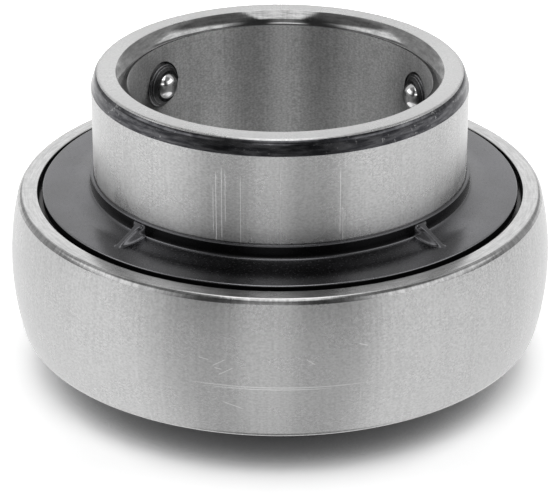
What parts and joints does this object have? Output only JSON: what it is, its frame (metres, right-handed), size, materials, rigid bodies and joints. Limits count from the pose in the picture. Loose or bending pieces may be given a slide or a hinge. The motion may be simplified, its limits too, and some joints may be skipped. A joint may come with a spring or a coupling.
{
  "type": "insert bearing",
  "caption": "Wide-inner-ring ball bearing insert with a spherical outer ring, dark slingers with gusset ribs, and ball-tipped set screws in the long side of the inner ring.",
  "frame": {"origin": "on the bearing's axis, in the middle plane of the outer ring and its ball row", "axes": "+Z along the bore axis towards the long side of the inner ring, which holds the set screws; -Y is the side the picture is taken from"},
  "size_m": [0.09, 0.09, 0.0516],
  "materials": {
    "outer_ring_steel": "ground, satin",
    "inner_ring_steel": "ground, satin, with dark chamfers",
    "ball_steel": "polished",
    "cage_steel": "pressed sheet",
    "rivet_steel": "headed",
    "seal_core_steel": "dark coated",
    "seal_rubber": "matte",
    "slinger_steel": "dark coated, semi-gloss",
    "screw_steel": "black oxide"
  },
  "bodies": {
    "housing_side": {"outer_ring": "outer_ring_steel", "seal_core_upper": "seal_core_steel", "seal_core_lower": "seal_core_steel", "seal_lip_upper": "seal_rubber", "seal_lip_lower": "seal_rubber"},
    "shaft_side": {"inner_ring": "inner_ring_steel", "slinger_upper": "slinger_steel", "slinger_lower": "slinger_steel"},
    "cage": {"cage_upper": "cage_steel", "cage_lower": "cage_steel", "cage_rivets": "rivet_steel"},
    "ball_01_body": {"ball_01": "ball_steel"},
    "ball_02_body": {"ball_02": "ball_steel"},
    "ball_03_body": {"ball_03": "ball_steel"},
    "ball_04_body": {"ball_04": "ball_steel"},
    "ball_05_body": {"ball_05": "ball_steel"},
    "ball_06_body": {"ball_06": "ball_steel"},
    "ball_07_body": {"ball_07": "ball_steel"},
    "ball_08_body": {"ball_08": "ball_steel"},
    "ball_09_body": {"ball_09": "ball_steel"},
    "ball_10_body": {"ball_10": "ball_steel"},
    "screw_a_travel": {"set_screw_ball_a": "ball_steel"},
    "screw_a_turn": {"set_screw_a": "screw_steel"},
    "screw_b_travel": {"set_screw_ball_b": "ball_steel"},
    "screw_b_turn": {"set_screw_b": "screw_steel"}
  },
  "joints": [
    {"name": "inner_spin", "type": "hinge", "parent": "housing_side", "child": "shaft_side", "pos_m": [0, 0, 0], "axis": [0, 0, 1], "continuous": true},
    {"name": "cage_spin", "type": "hinge", "parent": "housing_side", "child": "cage", "pos_m": [0, 0, 0], "axis": [0, 0, 1], "continuous": true},
    {"name": "ball_01_spin", "type": "hinge", "parent": "cage", "child": "ball_01_body", "pos_m": [0.035, 0, 0], "axis": [0, 0, 1], "continuous": true},
    {"name": "ball_02_spin", "type": "hinge", "parent": "cage", "child": "ball_02_body", "pos_m": [0.02832, 0.02057, 0], "axis": [0, 0, 1], "continuous": true},
    {"name": "ball_03_spin", "type": "hinge", "parent": "cage", "child": "ball_03_body", "pos_m": [0.01082, 0.03329, 0], "axis": [0, 0, 1], "continuous": true},
    {"name": "ball_04_spin", "type": "hinge", "parent": "cage", "child": "ball_04_body", "pos_m": [-0.01082, 0.03329, 0], "axis": [0, 0, 1], "continuous": true},
    {"name": "ball_05_spin", "type": "hinge", "parent": "cage", "child": "ball_05_body", "pos_m": [-0.02832, 0.02057, 0], "axis": [0, 0, 1], "continuous": true},
    {"name": "ball_06_spin", "type": "hinge", "parent": "cage", "child": "ball_06_body", "pos_m": [-0.035, 0, 0], "axis": [0, 0, 1], "continuous": true},
    {"name": "ball_07_spin", "type": "hinge", "parent": "cage", "child": "ball_07_body", "pos_m": [-0.02832, -0.02057, 0], "axis": [0, 0, 1], "continuous": true},
    {"name": "ball_08_spin", "type": "hinge", "parent": "cage", "child": "ball_08_body", "pos_m": [-0.01082, -0.03329, 0], "axis": [0, 0, 1], "continuous": true},
    {"name": "ball_09_spin", "type": "hinge", "parent": "cage", "child": "ball_09_body", "pos_m": [0.01082, -0.03329, 0], "axis": [0, 0, 1], "continuous": true},
    {"name": "ball_10_spin", "type": "hinge", "parent": "cage", "child": "ball_10_body", "pos_m": [0.02832, -0.02057, 0], "axis": [0, 0, 1], "continuous": true},
    {"name": "set_screw_a_travel", "type": "slide", "parent": "shaft_side", "child": "screw_a_travel", "axis": [-0.8039, 0.5948, 0], "range_m": [-0.001, 0.003]},
    {"name": "set_screw_a_turn", "type": "hinge", "parent": "screw_a_travel", "child": "screw_a_turn", "pos_m": [-0.01905, 0.0141, 0.02355], "axis": [-0.8039, 0.5948, 0], "range_deg": [-360, 1080]},
    {"name": "set_screw_b_travel", "type": "slide", "parent": "shaft_side", "child": "screw_b_travel", "axis": [0.9171, 0.3987, 0], "range_m": [-0.001, 0.003]},
    {"name": "set_screw_b_turn", "type": "hinge", "parent": "screw_b_travel", "child": "screw_b_turn", "pos_m": [0.0221, 0.00961, 0.02355], "axis": [0.9171, 0.3987, 0], "range_deg": [-360, 1080]}
  ],
  "couplings": [
    {"joint": "cage_spin", "follows": "inner_spin", "ratio": 0.40929},
    {"joint": "ball_01_spin", "follows": "inner_spin", "ratio": -2.6652},
    {"joint": "ball_02_spin", "follows": "inner_spin", "ratio": -2.6652},
    {"joint": "ball_03_spin", "follows": "inner_spin", "ratio": -2.6652},
    {"joint": "ball_04_spin", "follows": "inner_spin", "ratio": -2.6652},
    {"joint": "ball_05_spin", "follows": "inner_spin", "ratio": -2.6652},
    {"joint": "ball_06_spin", "follows": "inner_spin", "ratio": -2.6652},
    {"joint": "ball_07_spin", "follows": "inner_spin", "ratio": -2.6652},
    {"joint": "ball_08_spin", "follows": "inner_spin", "ratio": -2.6652},
    {"joint": "ball_09_spin", "follows": "inner_spin", "ratio": -2.6652},
    {"joint": "ball_10_spin", "follows": "inner_spin", "ratio": -2.6652},
    {"joint": "set_screw_a_turn", "follows": "set_screw_a_travel", "rad_per_m": 6283.2},
    {"joint": "set_screw_b_turn", "follows": "set_screw_b_travel", "rad_per_m": 6283.2}
  ]
}
